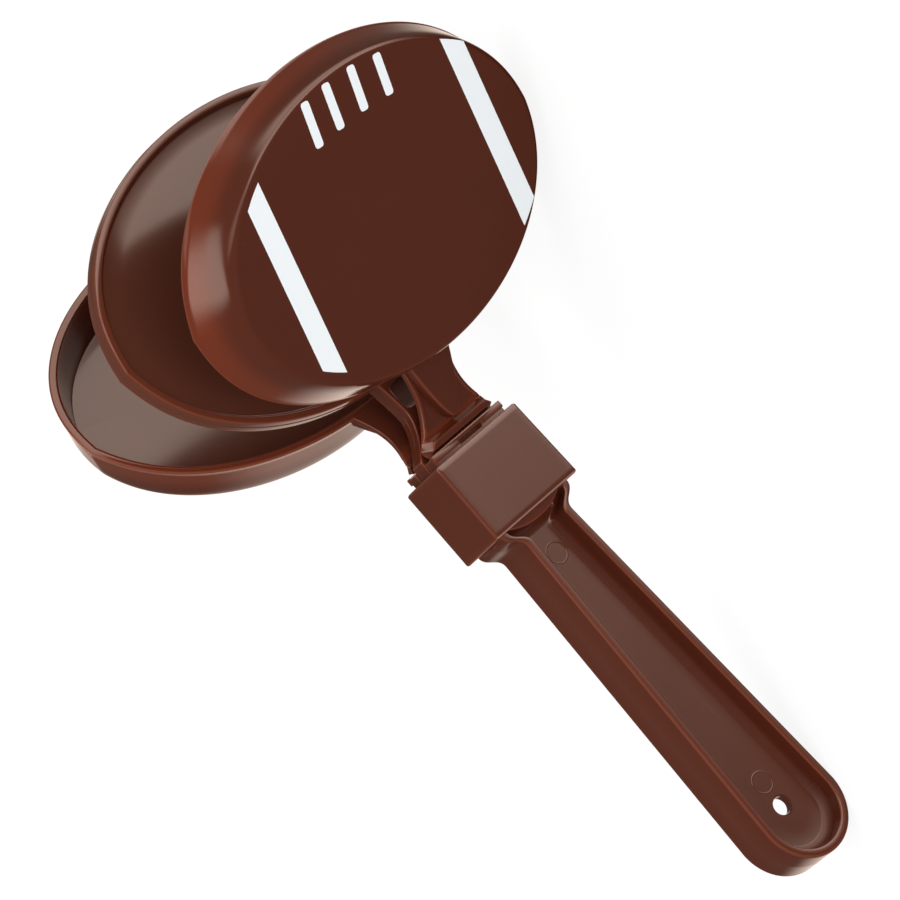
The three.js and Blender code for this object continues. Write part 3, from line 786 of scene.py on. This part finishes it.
def tongue():
    """Closed cross-sections of the raised tongue: its half width grows from its foot by a power of the
    height, and its sides lean out a little towards the flange."""
    s = np.linspace(0.0, 1.0, 56) ** 2
    z = TONGUE_FOOT + (NECK_END - TONGUE_FOOT) * s
    half = TONGUE_FOOT_HALF + (TONGUE_HALF - TONGUE_FOOT_HALF) * s ** TONGUE_POWER
    front = NECK_FRONT - TONGUE_FOOT_DROP * (1 - ease(s, 0.0, TONGUE_FOOT_SHARE))
    back = np.full_like(z, 0.5 * (RIM_PLANE + FLANGE_FACE))
    corners = [(half + TONGUE_DRAFT, back), (half, front), (-half, front), (-half - TONGUE_DRAFT, back)]
    edges = [TONGUE_ROOT_EDGE, TONGUE_EDGE, TONGUE_EDGE, TONGUE_ROOT_EDGE]
    outline = rounded(np.stack([np.stack([x, -y], -1) for x, y in corners], 1), edges, 7)
    heights = np.broadcast_to(z[:, None], outline.shape[:2])
    return surface("tongue", np.stack([outline[..., 0], outline[..., 1], heights], -1))


def painted_glow_share(x, y, z):
    """The share of a painted glow, standing for light that comes through: the bowl's wall from the rim to
    its round edge, and the flange's edges just above the bar."""
    depth = -RIM_PLANE - y
    away = np.hypot(x / BALL_HALF_LENGTH, (z - BALL_CENTRE) / BALL_HALF_HEIGHT)
    off_neck = ease(z, NECK_END - GLOW_OFF_NECK, NECK_END + GLOW_OFF_NECK)
    bowl_wall = (1 - ease(depth, *GLOW_FADE)) * ease(away, *GLOW_FROM_MIDDLE) * off_neck
    flange_height = ease(z, *FLANGE_GLOW_LOW) * (1 - ease(z, *FLANGE_GLOW_HIGH))
    return np.maximum(bowl_wall, ease(np.abs(x), *FLANGE_GLOW_SIDE) * flange_height)


def painted_inner_sheen(x, y, z):
    """The bowl's flat inside and the inner wall near it, painted paler than the rest: a painted reflection.
    """
    away = np.hypot(x / BALL_HALF_LENGTH, (z - BALL_CENTRE) / BALL_HALF_HEIGHT)
    inside = (away < INSIDE_SHARE) & (-y < RIM_PLANE + FLOOR_DEPTH + FLOOR_NEAR)
    return inside * ease(-y, RIM_PLANE + INSIDE_START * FLOOR_DEPTH, RIM_PLANE + FLOOR_DEPTH)


SIDES = {"front": 1.0, "rear": -1.0}
for name, side in SIDES.items():
    shell = combined(bowl(), [bar_and_flange(), tongue()], "UNION")
    # The wall share paints a glow through the thin walls; the floor share paints a reflection on the inner
    # floor.
    finish_solid(
        shell,
        name + "_moulding",
        lambda p: laid(swung(p, side)),
        name + "_shell",
        wall=painted_glow_share,
        matte=painted_inner_sheen,
    )
    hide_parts(name + "_shell")

# Hinge tabs
# The foot of each shell's moulding: a flat plate beside the stem in the collar, its round tongue just
# below the collar and its upper edge, with a shallow slot, just above it.
TAB_TOP = 2.92
TAB_SEAT = -18.7
TAB_TONGUE = -21.0
TAB_TONGUE_HALF = 9.0
TAB_EDGE = 0.3
TONGUE_CURVE = 2.2
LEDGE_BACK = 5.0
LEDGE_FOOT = 1.3
LEDGE_FRONT = 6.15
LEDGE_EDGE = 0.2
NOTCH = ((-5.3, 2.9), (-4.3, 2.6), (-2.0, 2.6), (-2.0, 3.6), (-5.3, 3.6))
SLOT = {"left": -3.0, "right": 4.2, "low": 1.0, "high": 1.75, "corner": 0.15}
SLOT_FLOOR = 4.6


def cross_bar(name, corners, half, radius):
    """An outline in y and z with round corners, carried across the handle and drawn in at its ends."""
    corners = np.array(corners)
    outline = rounded(corners, radius)
    middle = outline.mean(axis=0)
    reach = np.linalg.norm(corners - middle, axis=1).mean()
    end = arc(half - radius, -radius, radius, 90, 0, 4)
    x = np.concatenate([-end[::-1, 0], end[:, 0]])
    shrink = 1 + np.concatenate([end[::-1, 1], end[:, 1]]) / reach
    yz = middle + shrink[::-1, None, None] * (outline - middle)
    return surface(name, np.stack([x[:, None] + 0.0 * yz[..., 0], yz[..., 0], yz[..., 1]], -1))


def tab_plate():
    """Outlines in x and z over the plate's thickness, drawn in towards the middle at both faces. The
    lower edge is straight, with a tongue z = seat - drop (1 - |s|^2.2) between s = -1 and 1, where 2.2
    is TONGUE_CURVE."""
    s = np.linspace(-1.0, 1.0, 33)
    dip = TAB_SEAT - (TAB_SEAT - TAB_TONGUE) * (1 - np.abs(s) ** TONGUE_CURVE)
    side = STACK_HALF - TAB_EDGE
    near = 3.0 * TAB_EDGE
    top = arc(side, TAB_TOP - TAB_EDGE, TAB_EDGE, 0, 90, 4)
    below = [(STACK_HALF, TAB_SEAT), (STACK_HALF, TAB_TOP - near)]
    edge_up = np.concatenate([below, top, [(STACK_HALF - near, TAB_TOP)]])
    edge_down = (edge_up * [-1.0, 1.0])[::-1]
    outline = np.concatenate([np.stack([TAB_TONGUE_HALF * s, dip], -1), edge_up, edge_down])
    edge = arc(TAB_EDGE, NECK_FRONT - TAB_EDGE, TAB_EDGE, 90, 180, 5)
    edge = np.concatenate([edge, [(0.0, NECK_FRONT - near), (0.0, RIM_PLANE + near)]])
    edge = np.concatenate([edge, arc(TAB_EDGE, RIM_PLANE + TAB_EDGE, TAB_EDGE, 180, 270, 5)])
    inset, depth = edge.T
    middle = 0.5 * (TAB_TOP + TAB_SEAT)
    x = outline[:, 0] * (1 - inset[:, None] / STACK_HALF)
    z = middle + (outline[:, 1] - middle) * (1 - inset[:, None] / (TAB_TOP - middle))
    return surface("tab", np.stack([x, -depth[:, None] + 0.0 * x, z], -1))


def turned_half(points, side):
    """The front half's points as they are, or for side -1 turned half round the handle."""
    return points * [side, side, 1.0]


for name, side in SIDES.items():
    ledge = [(-LEDGE_BACK, LEDGE_FOOT), (-LEDGE_FRONT, LEDGE_FOOT)]
    ledge += [(-LEDGE_FRONT, TAB_TOP), (-LEDGE_BACK, TAB_TOP)]
    tab = combined(tab_plate(), [cross_bar("ledge", ledge, STACK_HALF, LEDGE_EDGE)], "UNION")
    cuts = [cross_bar("notch", NOTCH, 2 * STACK_HALF, 0.0)]
    cuts.append(pocket(**SLOT, inner=SLOT_FLOOR, outer=LEDGE_FRONT, side=-1))
    tab = combined(tab, cuts, "DIFFERENCE")
    finish_solid(tab, name + "_tab", lambda p: laid(turned_half(p, side)), "handle")
    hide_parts(name + "_hinge_tab")

# Film hinges
# The thin strip of the same moulding that joins each tab to its shell, drawn fixed in the bend it has while
# the shell lies open.
FILM_LOW = 2.2
FILM_HIGH = 3.5
FILM_BEND = (2.5, 3.1)
FILM_ACROSS = 9.0
FILM_EDGE = 0.15


def film_strip():
    """Thin rounded rectangles up across the hinge line."""
    z = np.linspace(FILM_LOW, FILM_HIGH, 14)
    x, front, back = FILM_ACROSS, -HINGE_Y - FILM_HALF, FILM_HALF - HINGE_Y
    corners = np.broadcast_to(np.array([(x, front), (x, back), (-x, back), (-x, front)]), (len(z), 4, 2))
    outline = rounded(corners, FILM_EDGE)
    heights = np.broadcast_to(z[:, None], outline.shape[:2])
    return surface("film", np.stack([outline[..., 0], outline[..., 1], heights], -1))


def bent(points, side):
    """Points of the strip, following the tab below the bend and the open shell above it."""
    share = ease(points[:, 2:], *FILM_BEND)
    return laid((1 - share) * turned_half(points, side) + share * swung(points, side))


for name, side in SIDES.items():
    film = finish_solid(film_strip(), name + "_film_hinge", lambda p: bent(p, side), None)
    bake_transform(film)

# Printed stripes and laces
# White ink, pad printed on the front shell's flat face: the two broad stripes of a football, cut off
# where the face rounds over, and four short laces.
FACE_DEPTH = RIM_PLANE + SHELL_DEPTH
INK_THICKNESS = 0.06
INK_SHOULDER = 0.8
INK_TOP_SCALE = 0.99
PRINT_MIDDLE = (1.4, 56.4)
PRINT_HALF_LENGTH = 45.4
PRINT_HALF_HEIGHT = 29.1
STRIPES = ((-33.5, -28.0), (30.8, 36.4))
LACES = (
    ((-8.66, 86.1), (-9.68, 76.1)),
    ((-1.75, 86.5), (-2.72, 76.4)),
    ((6.12, 86.2), (4.97, 76.4)),
    ((13.7, 84.8), (12.7, 75.7)),
)
LACE_HALF = 1.15
LACE_CORNER = 0.8


def printed(name, outline):
    """A thin sheet of ink over an outline in x and z, from just inside the plastic to its surface."""
    depth = -FACE_DEPTH - INK_THICKNESS * np.array([-1.0, INK_SHOULDER, 1.0])
    shrink = np.array([1.0, 1.0, INK_TOP_SCALE])[:, None, None]
    centre = outline.mean(axis=0)
    xz = centre + shrink * (outline - centre)
    y = np.broadcast_to(depth[:, None], xz.shape[:2])
    sheet = surface(name, np.stack([xz[..., 0], y, xz[..., 1]], -1))
    points = np.array([v.co for v in sheet.data.vertices])
    sheet.data.vertices.foreach_set("co", laid(swung(points, 1.0)).astype(np.float32).ravel())
    sheet.data.materials.append(ink)
    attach(sheet, "front_shell")
    return sheet


def stripe_outline(left, right):
    """A band across the face between two x, its ends on the print's edge: z = middle +/- half height
    times the square root of 1 - (x / half length)^2, with x from the print's middle."""
    x = np.linspace(left, right, 12)
    rise = PRINT_HALF_HEIGHT * np.sqrt(1 - ((x - PRINT_MIDDLE[0]) / PRINT_HALF_LENGTH) ** 2)
    upper = np.stack([x, PRINT_MIDDLE[1] + rise], -1)
    lower = np.stack([x, PRINT_MIDDLE[1] - rise], -1)
    return np.concatenate([upper, lower[::-1]])


def lace_outline(top, bottom):
    """A bar with round corners along the line between two points."""
    top, bottom = np.array(top), np.array(bottom)
    way = (top - bottom) / np.linalg.norm(top - bottom)
    aside = LACE_HALF * np.array([way[1], -way[0]])
    return rounded(np.array([top - aside, top + aside, bottom + aside, bottom - aside]), LACE_CORNER, 7)


INK = (0.91, 0.95, 0.97, 1.0)
INK_THIN = (0.86, 0.89, 0.91, 1.0)
INK_SWIRL_SCALE = 240.0
INK_SCRATCH_SCALE = 700.0
INK_SMOOTH = 0.4
INK_ROUGH = 0.6
ink = bpy.data.materials.new("white_ink")
ink.use_nodes = True
tree = ink.node_tree
shader = tree.nodes["Principled BSDF"]
place = tree.nodes.new("ShaderNodeTexCoord")
moulded = tree.nodes.new("ShaderNodeGroup")
moulded.node_tree = marks
moulded.inputs["Flow Scale"].default_value = INK_SWIRL_SCALE
moulded.inputs["Scratch Scale"].default_value = INK_SCRATCH_SCALE
tree.links.new(place.outputs["Object"], moulded.inputs["Position"])
colour = blended(tree, moulded.outputs["Scratches"], INK, INK_THIN)
tree.links.new(colour, shader.inputs["Base Color"])
roughness = blended(tree, moulded.outputs["Flow"], INK_SMOOTH, INK_ROUGH, "FLOAT")
tree.links.new(roughness, shader.inputs["Roughness"])

for number, (left, right) in enumerate(STRIPES, 1):
    printed(f"printed_stripe_{number}", stripe_outline(left, right))
for number, (top, bottom) in enumerate(LACES, 1):
    printed(f"printed_lace_{number}", lace_outline(top, bottom))

# Floor and light
# A white floor in a pale studio. The camera sees both as white, and the gloss sees what stands round
# the table: bright cards in front of the paddles, a pale one behind, a soft box overhead, the rest dim.
FLOOR_HALF = 6.0
WHITE = (1.0, 1.0, 1.0, 1.0)
CAMERA_WHITE = 0.84
FLOOR_SHADE = (0.2, 0.2, 0.2, 1.0)
FLOOR_BOUNCE = (0.35, 0.35, 0.35, 1.0)
WORLD_LIGHT = 1.02
GLOSS_TINT = (1.0, 0.81, 0.69, 1.0)
DIM = 0.16
DIM_RISE = (-0.98, -0.72)
BRIGHT_CARD = 2.6
BRIGHT_RIGHT = (0.06, 0.31)
BRIGHT_FRONT = (0.0, -0.3)
BRIGHT_TOP = (0.3, 0.05)
BRIGHT_FOOT = (-0.84, -0.66)
NEAR_CARD = 1.3
NEAR_START = (0.17, 0.25)
NEAR_END = (0.6, 0.4)
NEAR_FRONT = (-0.3, -0.6)
PALE_CARD = 1.1
PALE_BACK = (0.45, 0.75)
PALE_TOP = (-0.15, -0.5)
SOFT_BOX = 3.2
SOFT_LEFT = (-0.25, 0.0)
SOFT_RIGHT = (1.1, 0.8)
SOFT_FRONT = (-0.27, -0.2)
SOFT_BACK = (0.5, 0.2)
SOFT_FOOT = (0.0, 0.1)
TARGET = Vector((0.0, 0.0, 0.04))
FRONT_LAMP = {"way": (-0.3, -0.92, 0.3), "distance": 1.2, "size": (0.6, 0.6), "energy": 4.9}
OVERHEAD_LAMP = {"way": (0.38, 0.04, 0.92), "distance": 1.0, "size": (0.95, 0.5), "energy": 1.2}

floor_mesh = bpy.data.meshes.new("floor")
floor_corners = [(FLOOR_HALF * a, FLOOR_HALF * b, 0.0) for a, b in ((-1, -1), (1, -1), (1, 1), (-1, 1))]
floor_mesh.from_pydata(floor_corners, [], [(0, 1, 2, 3)])
floor = bpy.data.objects.new("floor", floor_mesh)
bpy.context.scene.collection.objects.link(floor)
floor.visible_glossy = False
white = bpy.data.materials.new("floor_white")
white.use_nodes = True
floor_mesh.materials.append(white)
tree = white.node_tree
shader = tree.nodes["Principled BSDF"]
rays = tree.nodes.new("ShaderNodeLightPath")
colour = blended(tree, rays.outputs["Is Camera Ray"], FLOOR_BOUNCE, FLOOR_SHADE)
tree.links.new(colour, shader.inputs["Base Color"])
shader.inputs["Emission Color"].default_value = WHITE
tree.links.new(scaled(tree, rays.outputs["Is Camera Ray"], CAMERA_WHITE), shader.inputs["Emission Strength"])
shader.inputs["Specular IOR Level"].default_value = 0.0
shader.inputs["Roughness"].default_value = 1.0


def stepped(tree, value, low, high):
    """A socket's value eased from 0 at low to 1 at high; where low is above high it falls instead."""
    step = node(tree, "ShaderNodeMapRange", interpolation_type="SMOOTHSTEP")
    tree.links.new(value, step.inputs["Value"])
    ends = (low, high, 0.0, 1.0) if low < high else (high, low, 1.0, 0.0)
    for key, end in zip(("From Min", "From Max", "To Min", "To Max"), ends):
        step.inputs[key].default_value = end
    return step.outputs["Result"]


def combined_values(tree, operation, values):
    """Several sockets or numbers put together by one operation, from first to last."""
    total = values[0]
    for value in values[1:]:
        step = node(tree, "ShaderNodeMath", operation=operation)
        for socket, given in zip(step.inputs, (total, value)):
            if isinstance(given, bpy.types.NodeSocket):
                tree.links.new(given, socket)
            else:
                socket.default_value = given
        total = step.outputs["Value"]
    return total


world = bpy.data.worlds.new("studio")
bpy.context.scene.world = world
world.use_nodes = True
tree = world.node_tree
background = tree.nodes["Background"]
rays = tree.nodes.new("ShaderNodeLightPath")
way = tree.nodes.new("ShaderNodeTexCoord")
split = tree.nodes.new("ShaderNodeSeparateXYZ")
tree.links.new(way.outputs["Generated"], split.inputs["Vector"])
x, y, z = (split.outputs[k] for k in "XYZ")
slant_x = combined_values(tree, "DIVIDE", [x, z])
slant_y = combined_values(tree, "DIVIDE", [y, z])
bright = [stepped(tree, x, *BRIGHT_RIGHT), stepped(tree, y, *BRIGHT_FRONT), BRIGHT_CARD]
bright += [stepped(tree, z, *BRIGHT_TOP), stepped(tree, z, *BRIGHT_FOOT)]
near = [stepped(tree, x, *NEAR_START), stepped(tree, x, *NEAR_END), stepped(tree, y, *NEAR_FRONT), NEAR_CARD]
pale = [stepped(tree, y, *PALE_BACK), stepped(tree, z, *PALE_TOP), PALE_CARD]
soft = [stepped(tree, slant_x, *SOFT_LEFT), stepped(tree, slant_x, *SOFT_RIGHT)]
soft += [stepped(tree, slant_y, *SOFT_FRONT), stepped(tree, slant_y, *SOFT_BACK)]
soft += [stepped(tree, z, *SOFT_FOOT), SOFT_BOX]
dim = [stepped(tree, z, *DIM_RISE), DIM]
cards = [combined_values(tree, "MULTIPLY", factors) for factors in (bright, near, pale, soft, dim)]
gloss = combined_values(tree, "ADD", cards)
tint = blended(tree, rays.outputs["Is Glossy Ray"], WHITE, GLOSS_TINT)
tree.links.new(tint, background.inputs["Color"])
strength = blended(tree, rays.outputs["Is Glossy Ray"], WORLD_LIGHT, gloss, "FLOAT")
strength = blended(tree, rays.outputs["Is Camera Ray"], strength, 1.0, "FLOAT")
tree.links.new(strength, background.inputs["Strength"])


def soft_lamp(name, way, distance, size, energy):
    """A rectangular lamp on the line `way` from the object, turned towards it, lighting but not mirrored."""
    way = Vector(way).normalized()
    lamp = bpy.data.lights.new(name, "AREA")
    lamp.shape = "RECTANGLE"
    lamp.size, lamp.size_y = size
    lamp.energy = energy
    holder = bpy.data.objects.new(name, lamp)
    bpy.context.scene.collection.objects.link(holder)
    holder.location = TARGET + distance * way
    holder.rotation_euler = (-way).to_track_quat("-Z", "Y").to_euler()
    holder.visible_camera = False
    holder.visible_glossy = False


soft_lamp("front_lamp", **FRONT_LAMP)
soft_lamp("overhead_lamp", **OVERHEAD_LAMP)
bpy.context.scene.view_settings.view_transform = "Standard"
